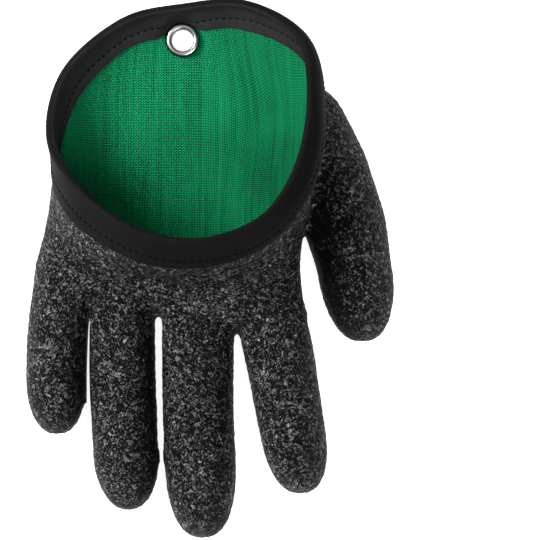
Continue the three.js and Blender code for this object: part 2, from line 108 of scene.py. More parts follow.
# The rim, a row for each twelfth of a turn: across, along, height, leanX, leanY
RIM = np.array([
    [1.014, 0.570, 0.737, 0.91, -0.17],
    [0.890, 0.282, 0.885, 0.93, -0.34],
    [0.637, 0.091, 0.962, 0.56, -0.81],
    [0.188, 0.000, 1.000, 0.04, -0.93],
    [-0.295, 0.044, 0.942, -0.27, -0.88],
    [-0.709, 0.198, 0.731, -0.58, -0.54],
    [-0.996, 0.425, 0.423, 0.18, -0.31],
    [-0.898, 0.719, 0.250, 0.43, -0.42],
    [-0.454, 0.936, 0.210, 0.15, -0.37],
    [0.021, 1.000, 0.210, -0.05, -0.40],
    [0.530, 1.007, 0.297, 0.12, -0.17],
    [0.943, 0.857, 0.463, 0.81, 0.07],
])
# Each finger's length, width, root, tip, bow, taper
FINGERS = [
    (51.0, 23.3, -0.750, -0.775, -0.055, 0.98),
    (75.6, 25.2, -0.325, -0.267, -0.039, 0.99),
    (81.3, 27.2, 0.219, 0.261, -0.034, 0.98),
    (60.0, 26.2, 0.763, 0.955, 0.030, 0.94),
]
THUMB_ROOT, THUMB_BEND = (0.425, 0.69), (0.88, 0.5)
# The thumb's width along its length, both as shares
THUMB_ROWS = np.array([[0, 0.12], [0.05, 0.54], [0.13, 0.83], [0.32, 1], [0.58, 1], [0.74, 0.92]])
# Up to this share of its length, the thumb's middle sinks with its width
THUMB_SINKS = 0.3
# The angles of a rounded end's rings, which stop just short of its pole
NOSE_ANGLES = np.radians(np.linspace(86, 8, 12))
TIP_ANGLES = np.linspace(0, math.radians(86), 16)[1:]

# The way to the room's brightest side, and the floor's half width, height and glow
KEY_WAY = (-0.55, 0.33, 0.77)
FLOOR_HALF, FLOOR_LOW, FLOOR_GLOW = 4.0, -0.0002, 0.9
# The camera's place, its sensor, and the width that it sees a metre away
CAMERA_PLACE, SENSOR, SEEN = (0.02258, -0.00075, 1.0), 36.0, 0.2052


def rim_rows(turns):
    """Every column of the rim table at each turn: a closed Catmull-Rom curve through its rows."""
    place = np.mod(turns, 1.0) * len(RIM)
    row = np.floor(place).astype(int)
    t = (place - row)[..., None]
    a, b, c, d = (RIM[(row + k) % len(RIM)] for k in (-1, 0, 1, 2))
    return b + 0.5 * t * (c - a + t * (2 * a - 5 * b + 4 * c - d + t * (3 * (b - c) + d - a)))


def rim_points(turns):
    """The rim of the cuff, from the table's shares of its width, length and height."""
    rows = rim_rows(turns)
    return np.stack([CUFF_SHIFT + rows[..., 0] * CUFF_WIDTH / 2, CUFF_NEAR + rows[..., 1] * CUFF_LENGTH,
                     rows[..., 2] * CUFF_HEIGHT], -1)


def rim_leans(turns):
    """Which way the cuff's wall runs down from the rim: a unit vector with the table's leans and a fall."""
    lean = rim_rows(turns)[..., 3:5]
    down = -np.sqrt(np.maximum(0.02, 1 - (lean ** 2).sum(-1)))
    full = np.concatenate([lean, down[..., None]], -1)
    return full / np.linalg.norm(full, axis=-1, keepdims=True)


KNUCKLE_HALF = PALM_HEIGHT / (2 - FLAT_SHARE)
KNUCKLE_MIDDLE = KNUCKLE_HALF * (1 - FLAT_SHARE)


def knuckle_points(turns):
    """The boxy knuckle ring, pressed flat underneath and sampled evenly along its length."""
    angle = np.linspace(0, TAU, 1441)
    power = 2 / PALM_SQUARENESS
    x = PALM_WIDTH / 2 * np.sign(np.cos(angle)) * np.abs(np.cos(angle)) ** power
    z = KNUCKLE_HALF * np.sign(np.sin(angle)) * np.abs(np.sin(angle)) ** power
    z = np.maximum(z, -KNUCKLE_MIDDLE)
    lengths = np.concatenate([[0], np.cumsum(np.hypot(np.diff(x), np.diff(z)))])
    target = np.mod(turns, 1.0) * lengths[-1]
    px, pz = np.interp(target, lengths, x), np.interp(target, lengths, z)
    px = np.where(px < 0, px * LITTLE_SIDE, px)
    return np.stack([px, KNUCKLE_SLANT * px + KNUCKLE_NOSE, pz + KNUCKLE_MIDDLE], -1)


EYELET = rim_points(np.array([EYELET_TURN]))[0] + [0, -EYELET_FROM_RIM, 0]
EYELET[2] = EYELET_LIFT


def smoothstep(x, low, high):
    """0 below low and 1 above high, with a smooth cubic between."""
    t = np.clip((x - low) / (high - low), 0, 1)
    return t * t * (3 - 2 * t)


def wall_lines(turns):
    """For each turn, points from the rim to the knuckles and the length up to each: a cubic Bezier curve that
    leaves both ends along their own directions, kept above the floor and held level round the eyelet."""
    start, end = knuckle_points(turns), rim_points(turns)
    chord = np.linalg.norm(start - end, axis=-1, keepdims=True)
    side = np.cos(turns * TAU)
    leave = np.stack([-np.where(side > 0, THUMB_TAPER, LITTLE_TAPER) * side, np.ones_like(turns),
                      KNUCKLE_RISE * np.maximum(0, np.sin(turns * TAU))], -1)
    leave = leave / np.linalg.norm(leave, axis=-1, keepdims=True) * chord * KNUCKLE_PULL
    arrive = rim_leans(turns) * BINDING_WIDTH * RIM_PULL
    t = np.linspace(0, 1, 161)[:, None]
    b = [(1 - t) ** 3, 3 * t * (1 - t) ** 2, 3 * t * t * (1 - t), t ** 3]
    controls = [end, end + arrive, start + leave, start]
    points = sum(w * c[..., None, :] for w, c in zip(b, controls))
    away = np.hypot(points[..., 0] - EYELET[0], points[..., 1] - EYELET[1])
    held = 1 - smoothstep(away, EYELET_FLAT_RADIUS, EYELET_FLAT_RADIUS + EYELET_FLAT_FADE)
    points[..., 2] = np.maximum(points[..., 2], 0) * (1 - held) + EYELET_LIFT * held
    steps = np.linalg.norm(np.diff(points, axis=-2), axis=-1)
    lengths = np.concatenate([np.zeros_like(steps[..., :1]), np.cumsum(steps, -1)], -1)
    return points, lengths


def wall_points(turns, depths):
    """Points of the coat's outer face. depths has a row for each turn; below 0 the line runs on straight."""
    points, lengths = wall_lines(turns)
    out = np.empty(depths.shape + (3,))
    for i in range(len(turns)):
        for k in range(3):
            out[i, :, k] = np.interp(depths[i], lengths[i], points[i, :, k])
    first = (points[:, 1] - points[:, 0]) / lengths[:, 1:2]
    return out + np.minimum(depths, 0)[..., None] * first[:, None]


def wall_normals(turns, depths):
    """The wall's outward normals: the cross product of short steps towards the rim and along the turn."""
    step, turn = 1.5, 0.004
    d = np.maximum(depths, step)
    along = wall_points(turns + turn, d) - wall_points(turns - turn, d)
    rimwards = wall_points(turns, d - step) - wall_points(turns, d + step)
    n = np.cross(rimwards, along)
    return n / np.linalg.norm(n, axis=-1, keepdims=True)


def wall_offset(turns, depths, out):
    """Points off the wall's outer face by a distance out, or in where it is below 0."""
    return wall_points(turns, depths) + wall_normals(turns, depths) * np.asarray(out)[..., None]


# From the origin of the tables to that of the part's frame, by the eyelet of the CAD model
low, high = (np.array(corner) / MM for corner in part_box("grommet_eyelet"))
SHIFT = np.array([*((low + high) / 2 - EYELET)[:2], 0.0])


def make(name, vertices, faces):
    """A new piece from points in the tables' millimetres, moved into the part's frame and made metres."""
    mesh = bpy.data.meshes.new(name)
    mesh.from_pydata(((np.asarray(vertices) + SHIFT) * MM).tolist(), [], faces)
    mesh.update()
    piece = bpy.data.objects.new(name, mesh)
    bpy.context.scene.collection.objects.link(piece)
    return piece


def grid_faces(rows, columns, start=0, closed_rows=False):
    """Quads of a grid whose columns close up, and whose rows do too if asked. Faces look out for rows that
    run against the axis that the columns turn about."""
    r = np.arange(rows if closed_rows else rows - 1)[:, None]
    c = np.arange(columns)[None]
    r2, c2 = (r + 1) % rows, (c + 1) % columns
    quads = np.stack([r * columns + c, r2 * columns + c, r2 * columns + c2, r * columns + c2], -1)
    return (quads.reshape(-1, 4) + start).tolist()


def loft(name, rings):
    """A closed form through rings of points, with a flat face over each end."""
    rows, columns = rings.shape[:2]
    faces = grid_faces(rows, columns)
    faces.append(list(range(columns)))
    faces.append(list(range(rows * columns - 1, (rows - 1) * columns - 1, -1)))
    return make(name, rings.reshape(-1, 3), faces)


def palm_form(inset, hollow):
    """The palm and cuff, taken in by inset: rings of the wall from the knuckles to the rim, and a rounded nose
    of shrinking rings before them. A hollow runs out past the rim. Any other form turns in there to close."""
    count, steps = (150, 60) if inset > 0 else (240, 90)
    turns = np.arange(count) / count
    total = wall_lines(turns)[1][:, -1:]
    start = -PAST_RIM if hollow else EDGE_INSET
    depths = start + (total - start) * np.linspace(1, 0, steps)[None]
    rings = wall_offset(turns, depths, -inset).transpose(1, 0, 2)
    knuckles = rings[0]
    noses = []
    for angle in NOSE_ANGLES:
        drop = 1 - math.cos(angle)
        x = knuckles[:, 0] * (1 - drop * PALM_HEIGHT / PALM_WIDTH)
        y = KNUCKLE_SLANT * x + KNUCKLE_NOSE - (KNUCKLE_NOSE - inset) * math.sin(angle)
        noses.append(np.stack([x, y, knuckles[:, 2] * (1 - drop) + KNUCKLE_MIDDLE * drop], -1))
    parts = [np.array(noses), rings]
    if not hollow:
        parts.append(wall_offset(turns, np.full((count, 1), EDGE_INSET), -WALL - 1).transpose(1, 0, 2))
    return loft("palm", np.concatenate(parts))


def tube_form(name, middle, heading, half_width, half_height, z, inset):
    """A round tube lying on the surface: an ellipse about each point of a line, flat at the bottom."""
    side = np.stack([-heading[:, 1], heading[:, 0]], -1)
    side = side / np.linalg.norm(side, axis=-1, keepdims=True)
    angle = -np.arange(56) / 56 * TAU
    across = half_width[:, None] * np.cos(angle)
    up = np.maximum(z[:, None] + half_height[:, None] * np.sin(angle), inset)
    rings = np.stack([middle[:, :1] + side[:, :1] * across, middle[:, 1:] + side[:, 1:] * across, up], -1)
    return loft(name, rings)


def tip_share(share):
    """How full a rounded tip is at a share of its length: a superellipse."""
    return (1 - share ** TIP_POWER) ** (1 / TIP_POWER)


def finger_line(finger, share):
    """The middle line of a finger: straight from its root to its tip, and bowed sideways by a parabola."""
    length, width, root, tip_at, bow, _ = finger
    root_x, tip_x = root * PALM_WIDTH / 2, tip_at * PALM_WIDTH / 2
    x = root_x + (tip_x - root_x) * share + 4 * share * (1 - share) * bow * width
    return np.stack([x, KNUCKLE_SLANT * root_x - length * share], -1)


def finger_form(finger, inset):
    """A finger, taken in by inset: a tube along its line that tapers and ends in a rounded tip."""
    length, width, taper = finger[0], finger[1], finger[5]
    tip = TIP_LENGTH * width
    straight = length - tip
    body = np.linspace(inset - FINGER_ROOT, straight, 12)
    y = np.concatenate([body, straight + (tip - inset) * np.sin(TIP_ANGLES)])
    tipwards = np.concatenate([np.ones(len(body)), tip_share(np.sin(TIP_ANGLES))])
    full = tipwards * (1 + (taper - 1) * np.clip(y / straight, 0, 1))
    half = FINGER_HEIGHT / (2 - FLAT_SHARE)
    share = y / length
    heading = finger_line(finger, share + 0.01) - finger_line(finger, share)
    z = half * (1 - FLAT_SHARE) * (1 + (tipwards - 1) * TIP_SINK)
    return tube_form("finger", finger_line(finger, share), heading, (width / 2 - inset) * full,
                     (half - inset) * tipwards, z, inset)


def thumb_form(inset):
    """The thumb, taken in by inset: a tube along a curve that leaves the cuff's side and bends to run with
    the fingers. Where it is taken in, it is pinched at its root as well."""
    root = np.array([CUFF_SHIFT + THUMB_ROOT[0] * CUFF_WIDTH, CUFF_NEAR + THUMB_ROOT[1] * CUFF_LENGTH])
    bend = root + [THUMB_BEND[0] * THUMB_REACH, -THUMB_BEND[1] * THUMB_LENGTH]
    end = root + [THUMB_REACH, -THUMB_LENGTH]
    t = np.linspace(0, 1, 400)[:, None]
    line = (1 - t) ** 2 * root + 2 * t * (1 - t) * bend + t * t * end
    run = np.concatenate([[0], np.cumsum(np.linalg.norm(np.diff(line, axis=0), axis=-1))])

    def at(share):
        return np.stack([np.interp(share, run / run[-1], line[:, k]) for k in (0, 1)], -1)

    last, full = THUMB_ROWS[-1]
    body = np.linspace(inset / run[-1], last, 16)
    along = np.concatenate([body, last + (1 - last - inset / run[-1]) * np.sin(TIP_ANGLES)])
    body_width = np.interp(body, THUMB_ROWS[:, 0], THUMB_ROWS[:, 1])
    width = np.concatenate([body_width, full * tip_share(np.sin(TIP_ANGLES))])
    if inset > 0:
        width = width * (1 - THUMB_PINCH * (1 - smoothstep(along, *PINCH_END)))
    half = THUMB_HEIGHT / (2 - FLAT_SHARE)
    z = half * (1 - FLAT_SHARE) * np.where(along < THUMB_SINKS, width, 1 + (width - 1) * TIP_SINK)
    heading = at(along + 0.01) - at(along - 0.01)
    return tube_form("thumb", at(along), heading, (THUMB_WIDTH / 2 - inset) * width, (half - inset) * width,
                     z, inset)


def settled_mesh(piece):
    """Bakes a piece's modifiers into its mesh."""
    deps = bpy.context.evaluated_depsgraph_get()
    baked = bpy.data.meshes.new_from_object(piece.evaluated_get(deps))
    piece.modifiers.clear()
    piece.data = baked
    return piece


def drop(piece):
    """Takes a piece out of the scene."""
    bpy.data.objects.remove(piece, do_unlink=True)


def hand_forms(inset, hollow=False, swell=0.0):
    """The palm, the fingers and the thumb as closed lofts, taken in by inset, the thumb less so by swell."""
    tubes = [finger_form(finger, inset) for finger in FINGERS] + [thumb_form(inset - swell)]
    return [palm_form(inset, hollow)] + tubes


def joined(forms):
    """The exact union of some forms."""
    whole, *rest = forms
    for form in rest:
        cut(whole, form, operation="UNION")
    return whole


def fused(forms, voxel, rounds):
    """The forms fused by a remesh, and rounded where they meet."""
    vertices, faces = [], []
    for form in forms:
        start = len(vertices)
        vertices += [v.co[:] for v in form.data.vertices]
        faces += [[start + i for i in p.vertices] for p in form.data.polygons]
        drop(form)
    mesh = bpy.data.meshes.new("hand")
    mesh.from_pydata(vertices, [], faces)
    piece = bpy.data.objects.new("hand", mesh)
    bpy.context.scene.collection.objects.link(piece)
    remesh = piece.modifiers.new("fuse", "REMESH")
    remesh.mode = "VOXEL"
    remesh.voxel_size = voxel * MM
    smooth = piece.modifiers.new("round", "SMOOTH")
    smooth.factor = 0.5
    smooth.iterations = rounds
    return settled_mesh(piece)


def soften(piece, weights, rounds):
    """Smooths a piece's mesh where the weights of its vertices are high, in ten levels."""
    levels = 10
    group = piece.vertex_groups.new(name="soft")
    for level in range(1, levels + 1):
        chosen = np.nonzero(np.round(weights * levels) == level)[0].tolist()
        if chosen:
            group.add(chosen, level / levels, "REPLACE")
    smooth = piece.modifiers.new("soften", "SMOOTH")
    smooth.factor = 0.5
    smooth.iterations = rounds
    smooth.vertex_group = "soft"
    settled_mesh(piece)
    piece.vertex_groups.clear()


def read_points(piece):
    """The points of a piece, back in the tables' millimetres."""
    count = len(piece.data.vertices)
    values = np.empty(count * 3, np.float32)
    piece.data.vertices.foreach_get("co", values)
    return values.reshape(-1, 3).astype(float) / MM - SHIFT


def write_points(piece, points):
    """Moves a piece's points to new places, given in the tables' millimetres."""
    piece.data.vertices.foreach_set("co", ((points + SHIFT) * MM).astype(np.float32).ravel())
    piece.data.update()


def vertex_normals(piece):
    """The outward normal at each point of a piece."""
    values = np.empty(len(piece.data.vertices) * 3, np.float32)
    piece.data.vertex_normals.foreach_get("vector", values)
    return values.reshape(-1, 3).astype(float)


def waves(points, length, count):
    """Smooth noise of about unit size: a sum of plane waves of about one length, each with a random direction
    and phase."""
    ways = random.normal(size=(count, 3))
    ways *= TAU / length / np.linalg.norm(ways, axis=-1, keepdims=True)
    ways *= random.uniform(0.75, 1.3, (count, 1))
    return np.cos(points @ ways.T + random.uniform(0, TAU, count)).sum(-1) * math.sqrt(2 / count)


def cut(piece, *tools, operation="DIFFERENCE"):
    """Cuts a piece with each tool in turn, or joins them to it, and drops the tools."""
    for tool in tools:
        knife = piece.modifiers.new("cut", "BOOLEAN")
        knife.operation = operation
        knife.object = tool
        knife.solver = "MANIFOLD"
        settled_mesh(piece)
        drop(tool)


def eyelet_drill(radius):
    """An upright cylinder through the cuff at the eyelet."""
    sides, top, bottom = 64, 30.0, -10.0
    angle = np.arange(sides) / sides * TAU
    ring = np.stack([EYELET[0] + radius * np.cos(angle), EYELET[1] + radius * np.sin(angle)], -1)
    rings = np.stack([np.concatenate([ring, np.full((sides, 1), z)], -1) for z in (top, bottom)])
    return loft("drill", rings)


def name_piece(piece, name, node, material):
    """Finishes a piece: its name, its material, its body, and the CAD node that it replaces."""
    piece.name = piece.data.name = name
    piece.data.materials.clear()
    piece.data.materials.append(material)
    piece.data.polygons.foreach_set("use_smooth", [True] * len(piece.data.polygons))
    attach(piece, "root")
    if node:
        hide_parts(node)


class Graph:
    """The node tree of a material or a world, with a short way to add nodes and link what feeds them."""

    def __init__(self, owner, shader="Principled BSDF"):
        owner.use_nodes = True
        self.owner = owner
        self.tree = owner.node_tree
        self.shader = self.tree.nodes[shader]

    def add(self, kind, inputs=(), **settings):
        node = self.tree.nodes.new(kind)
        for key, value in settings.items():
            setattr(node, key, value)
        for key, value in dict(inputs).items():
            self.feed(node.inputs[key], value)
        return node

    def feed(self, socket, value):
        if isinstance(value, bpy.types.NodeSocket):
            self.tree.links.new(value, socket)
        else:
            socket.default_value = value

    def math(self, operation, *values, clamp=False):
        node = self.add("ShaderNodeMath", dict(enumerate(values)), operation=operation, use_clamp=clamp)
        return node.outputs[0]

    def total(self, start, *terms):
        """A number and any values, each times its weight, added up."""
        for value, weight in terms:
            start = self.math("ADD", start, self.math("MULTIPLY", value, weight))
        return start

    def ridge(self, value, level, sharpness):
        """1 where a value is at a level, falling to 0 on both sides of it."""
        off = self.math("ABSOLUTE", self.math("SUBTRACT", value, level))
        return self.math("SUBTRACT", 1.0, self.math("MULTIPLY", off, sharpness), clamp=True)

    def hump(self, share, power):
        """1 half way along a share, and 0 at both ends: 1 - |2 share - 1| ^ power."""
        off = self.math("ABSOLUTE", self.math("SUBTRACT", self.math("MULTIPLY", share, 2.0), 1.0))
        return self.math("SUBTRACT", 1.0, self.math("POWER", off, power))

    def noise(self, vector, scale, detail=2.0, rough=0.5, distortion=0.0):
        inputs = {"Vector": vector, "Scale": scale, "Detail": detail, "Roughness": rough,
                  "Distortion": distortion}
        return self.add("ShaderNodeTexNoise", inputs).outputs["Fac"]

    def ramp(self, value, stops):
        node = self.add("ShaderNodeValToRGB", {"Fac": value})
        elements = node.color_ramp.elements
        while len(elements) < len(stops):
            elements.new(0.5)
        for element, (place, colour) in zip(elements, stops):
            element.position = place
            element.color = (*colour, 1.0)
        return node.outputs["Color"]

    def place(self):
        """Where a point is in the part's frame, in metres."""
        return self.add("ShaderNodeTexCoord").outputs["Object"]

    def attribute(self, name):
        return self.add("ShaderNodeAttribute", attribute_name=name).outputs["Vector"]

    def split(self, vector):
        return self.add("ShaderNodeSeparateXYZ", {0: vector}).outputs

    def bump(self, height, strength, distance, below=None):
        inputs = {"Height": height, "Strength": strength, "Distance": distance}
        if below is not None:
            inputs["Normal"] = below
        return self.add("ShaderNodeBump", inputs).outputs[0]

    def surface(self, **inputs):
        for key, value in inputs.items():
            self.feed(self.shader.inputs[key.replace("_", " ")], value)


def grey(value, cool=1.02):
    """A grey that is a little cool."""
    return (value, value, value * cool)


def new_material(name):
    """The node tree of a new material."""
    return Graph(bpy.data.materials.new(name))


def crinkled_latex():
    """Grey latex cut up by short black creases, the ridges of two warped noises, with a few pale specks. The
    creases are bumps and painted shade, the specks bumps and painted highlights. Two kinds of painted shade
    are part of its colour as well, whatever the light: it is darker low on the sides, and where the point
    faces into the clefts, as an attribute's x says."""
    g = new_material("crinkled_latex")
    place = g.place()
    crease = g.ridge(g.noise(place, 470.0, detail=1.5, distortion=1.1), 0.5, 10.0)
    cross = g.ridge(g.noise(place, 640.0, detail=1.0, distortion=0.9), 0.44, 11.0)
    crease_bump_and_shade = g.math("MAXIMUM", crease, g.math("MULTIPLY", cross, 0.9))
    grain = g.noise(place, 2100.0, detail=2.0, rough=0.6)
    patches = g.noise(place, 90.0)
    speck_bump_and_glint = g.math("MULTIPLY", g.math("SUBTRACT", g.noise(place, 620.0, detail=1.0), 0.56), 5.0, clamp=True)
    # The relief drives the bump and the colour: painted shade in the creases, painted highlights on the specks
    relief = g.total(0.66, (crease_bump_and_shade, -0.70), (speck_bump_and_glint, 0.34))
    # Painted shade: the colour darkens towards the floor below this height, in metres, on all sides
    painted_shade_height = 0.014
    low = g.math("SUBTRACT", 1.0, g.math("MULTIPLY", g.split(place)[2], 1 / painted_shade_height, clamp=True))
    # Painted shade where the coat faces into the clefts between the fingers and beside the thumb
    cleft_painted_shade = g.split(g.attribute("cleft_painted_shade"))[0]
    even = g.total(relief, (g.math("SUBTRACT", grain, 0.5), 0.30), (g.math("SUBTRACT", patches, 0.5), 0.25))
    tone = g.total(even, (low, -0.3), (cleft_painted_shade, -0.36))
    colour = g.ramp(tone, [(0.10, grey(0.0005)), (0.31, grey(0.005)), (0.50, grey(0.066)), (0.72, grey(0.12)),
                           (1.0, grey(0.40))])
    normal = g.bump(g.total(relief, (grain, 0.25)), 1.0, 0.0009)
    rough = g.total(0.46, (grain, 0.2))
    g.surface(Base_Color=colour, Roughness=rough, Normal=normal, Specular_IOR_Level=0.12)
    return g.owner


def green_knit():
    """Rows of V stitches from the knit attribute, whose x runs across the wales and y along them, in
    millimetres. Wales differ a little, and a round patch of painted shade near the thumb is darker."""
    g = new_material("green_knit")
    wale_width, course_height, slope = 1.26, 1.0, 0.75
    shade_patch_middle, shade_patch_reach = (0.024, 0.030), (0.014, 0.024)
    u, v = g.split(g.attribute("knit"))[:2]
    wale = g.math("MULTIPLY", u, 1 / wale_width)
    leg = g.math("MULTIPLY", g.math("ABSOLUTE", g.math("SUBTRACT", g.math("FRACT", wale), 0.5)), 2.0)
    course = g.math("FRACT", g.total(g.math("MULTIPLY", leg, slope), (v, 1 / course_height)))
    stitch = g.math("MULTIPLY", g.hump(course, 2.0), g.hump(leg, 3.0))
    column = g.add("ShaderNodeCombineXYZ", {0: g.math("FLOOR", wale), 1: g.math("MULTIPLY", v, 0.02)})
    ladder = g.noise(column.outputs[0], 0.83)
    place = g.place()
    across, along = (g.math("MULTIPLY", g.math("SUBTRACT", value, middle), 1 / reach)
                     for value, middle, reach in zip(g.split(place)[:2], shade_patch_middle, shade_patch_reach))
    squares = g.math("ADD", g.math("MULTIPLY", across, across), g.math("MULTIPLY", along, along))
    # Painted shade: a round patch near the thumb, darkest at its middle
    hollow = g.math("SUBTRACT", 1.0, squares, clamp=True)
    patches = g.total(g.noise(place, 45.0, detail=3.0), (hollow, -0.5))
    fuzz = g.noise(place, 2600.0)
    tone = g.total(0.0, (stitch, 0.7), (ladder, 0.5), (patches, 0.3), (fuzz, 0.16))
    colour = g.ramp(tone, [(0.48, (0.0006, 0.010, 0.004)), (0.66, (0.0020, 0.090, 0.030)),
                           (0.86, (0.0055, 0.270, 0.100)), (1.0, (0.014, 0.42, 0.17))])
    normal = g.bump(g.total(stitch, (fuzz, 0.3)), 0.9, 0.0005)
    g.surface(Base_Color=colour, Roughness=0.9, Normal=normal, Specular_IOR_Level=0.05)
    return g.owner


def woven_tape():
    """A soft close weave, all noise, so that it has no start on the band. The side attribute's x is 1 on the
    face inside the cuff, which is painted paler, as painted light."""
    g = new_material("woven_tape")
    place = g.place()
    inside = g.split(g.attribute("side"))[0]
    fuzz = g.noise(place, 1700.0, detail=3.0, rough=0.65)
    patches = g.noise(place, 110.0)
    # Painted light: the face inside the cuff is paler
    tone = g.total(0.0, (fuzz, 0.33), (patches, 0.22), (inside, 0.4))
    colour = g.ramp(tone, [(0.15, grey(0.0025)), (0.3, grey(0.0042)), (0.45, grey(0.0075)), (0.7, grey(0.021)),
                           (0.9, grey(0.032))])
    soft = g.bump(patches, 0.25, 0.0008)
    normal = g.bump(fuzz, 0.4, 0.0002, soft)
    g.surface(Base_Color=colour, Roughness=0.7, Normal=normal, Specular_IOR_Level=0.07)
    return g.owner


def black_thread():
    """Dull black thread, a little paler where its twist catches the light."""
    g = new_material("black_thread")
    twist = g.noise(g.place(), 3500.0)
    colour = g.ramp(twist, [(0.3, grey(0.0005)), (0.7, grey(0.002))])
    g.surface(Base_Color=colour, Roughness=0.8, Normal=g.bump(twist, 0.5, 0.0001), Specular_IOR_Level=0.05)
    return g.owner


def plated_steel():
    """Bright plate, hazed and finely scratched round about. Its colour darkens from the flange's crown down to
    its foot, and stays darkened below, as painted shade."""
    g = new_material("plated_steel")
    place = g.place()
    haze = g.noise(place, 260.0, detail=3.0)
    streaks = g.add("ShaderNodeVectorMath", {0: place, 1: (900.0, 900.0, 6000.0)}, operation="MULTIPLY")
    scratch = g.noise(streaks.outputs[0], 1.0)
    plate = g.ramp(haze, [(0.3, (0.56, 0.57, 0.57)), (0.7, (0.70, 0.71, 0.71))])
    # Painted shade: the plate darkens below the flange's crown, down its foot, inside the hole and on the
    # washer
    centimetres = g.math("MULTIPLY", g.split(place)[2], 1 / 0.01)
    shade = g.ramp(centimetres, [(0.56, grey(0.03)), (0.625, grey(0.25)), (0.665, grey(0.85))])
    colour = g.add("ShaderNodeVectorMath", {0: plate, 1: shade}, operation="MULTIPLY").outputs[0]
    rough = g.total(0.22, (haze, 0.08), (scratch, 0.08))
    g.surface(Base_Color=colour, Metallic=1.0, Roughness=rough, Normal=g.bump(scratch, 0.15, 0.00005))
    return g.owner


LATEX, KNIT, TAPE, THREAD, STEEL = crinkled_latex(), green_knit(), woven_tape(), black_thread(), plated_steel()


def set_attribute(piece, name, values):
    """A vector for each point, for a material to read."""
    data = piece.data.attributes.new(name, "FLOAT_VECTOR", "POINT")
    data.data.foreach_set("vector", np.asarray(values, np.float32).ravel())


def thumb_side(points):
    """How near each point is to where the thumb leaves the palm, from 0 to 1: a bell in both directions, faded
    out towards the middle of the palm and towards the fingers."""
    across, along = ((points[:, k] - THUMB_MOUTH[k]) / MOUTH_REACH[k] for k in (0, 1))
    fade = smoothstep(points[:, 0], *MOUTH_ACROSS) * smoothstep(points[:, 1], *MOUTH_ALONG)
    return np.exp(-across ** 2 - along ** 2) * fade


def skin(inset, hollow, voxel):
    """A face of the coat or the liner: the fused hand, softened where the thumb leaves the palm."""
    piece = fused(hand_forms(inset, hollow, THUMB_SWELL), voxel, round(ROUNDING / voxel ** 2))
    soften(piece, thumb_side(read_points(piece)), round(THUMB_ROUNDING / voxel ** 2))
    return piece


def finger_slit(first, start, end, gap):
    """A thin blade along the middle of the gap between two fingers. Its width grows from its start by a square
    root, and then evenly."""
    y = np.linspace(end, start, 30)
    edges = []
    for finger, side in zip(FINGERS[first:first + 2], (1, -1)):
        length, width, root, taper = finger[0], finger[1], finger[2], finger[5]
        share = (KNUCKLE_SLANT * root * PALM_WIDTH / 2 - y) / length
        tapered = width / 2 * (1 + (taper - 1) * np.clip(share, 0, 1))
        edges.append(finger_line(finger, share)[:, 0] + side * tapered)
    middle = (edges[0] + edges[1]) / 2
    past_start = start + SLIT_LEAD - y
    half = gap / 2 * np.sqrt(np.clip(past_start / SLIT_OPENS, 0, 1)) * (1 + past_start / SLIT_SPREAD)
    corners = [(-1, SLIT_HIGH), (-1, SLIT_LOW), (1, SLIT_LOW), (1, SLIT_HIGH)]
    rings = np.stack([np.stack([middle + sign * half, y, np.full_like(y, z)], -1) for sign, z in corners], 1)
    return loft("slit", rings)


def cleft_shade(points, normals):
    """The painted shade at each point, by how far it faces into the clefts, as a vector's x: on the thumb side
    of the first three fingers, which faces the next one, and on the side of the thumb that faces the palm. It
    is 0 elsewhere, and 1.2 at most."""
    x, y = points[:, 0], points[:, 1]
    on_fingers = (1 - smoothstep(y, *FINGER_CLEFTS_ALONG)) * (1 - smoothstep(x, *FINGER_CLEFTS_ACROSS))
    fingers = np.clip(normals[:, 0], 0, 1) * on_fingers
    on_thumb = smoothstep(x, *THUMB_CLEFT_ACROSS) * (1 - smoothstep(y, *THUMB_CLEFT_ALONG))
    thumb = np.clip(-normals[:, 0] + 0.25, 0, 1) * on_thumb
    shade = np.maximum(fingers ** 1.3, 1.2 * thumb)
    return np.stack([shade, 0 * shade, 0 * shade], -1)


def latex_coat():
    """The crinkled outside. Two nets of small wrinkles, bells about the zero lines of wave noise, lift the
    skin along its normals, and broad noise dents it. The exact union of the hollows is then cut out."""
    coat = skin(0.0, False, COAT_VOXEL)
    points, normals = read_points(coat), vertex_normals(coat)
    net = np.exp(-(waves(points, NET[0], 60) / 0.45) ** 2)
    fine = np.exp(-(waves(points, FINE_NET[0], 60) / 0.5) ** 2)
    broad = waves(points, DENTS[0], 40)
    crinkle = NET[1] * (net - 0.45) + FINE_NET[1] * (fine - 0.45) + DENTS[1] * broad
    points = points + normals * crinkle[:, None]
    points[:, 2] = np.maximum(points[:, 2], 0)
    write_points(coat, points)
    # The painted shade in the clefts, for the coat's colour
    set_attribute(coat, "cleft_painted_shade", cleft_shade(points, normals))
    cut(coat, joined(hand_forms(COAT_WALL, True)))
    cut(coat, eyelet_drill(DRILL), *[finger_slit(*slit, SLIT_WIDTH) for slit in SLITS])
    name_piece(coat, "coat_skin", "latex_coat", LATEX)


def eyelet_pucker(points):
    """How high the fold is that runs from the eyelet towards the palm: a bell across, faded at both ends."""
    below = EYELET[1] - points[:, 1]
    ends = smoothstep(below, 6, 9) * (1 - smoothstep(below, 12, 34))
    fold = 0.55 * np.exp(-((points[:, 0] - EYELET[0]) / 1.6) ** 2) * ends
    return np.where(points[:, 2] < 12, fold, 0)


def knit_layout(points):
    """Where each point lies on the flat knit, for the knit attribute: across and along the hand, with the
    height of a wall added outwards, so that the courses climb it, and drawn aside at the thumb."""
    arm = points[:, :2] - [CUFF_SHIFT, CUFF_NEAR + CUFF_LENGTH * 0.5]
    reach = np.linalg.norm(arm, axis=-1, keepdims=True) + 1e-6
    rise = smoothstep(reach, 20, 46) * arm / reach * points[:, 2:3]
    thumbwards = np.exp(-((points[:, 0] - 46) / 17) ** 2 - ((points[:, 1] - 74) / 24) ** 2)
    flat = points[:, :2] + rise + thumbwards[:, None] * [-4.0, 11.0]
    return np.concatenate([flat, np.zeros((len(points), 1))], -1)


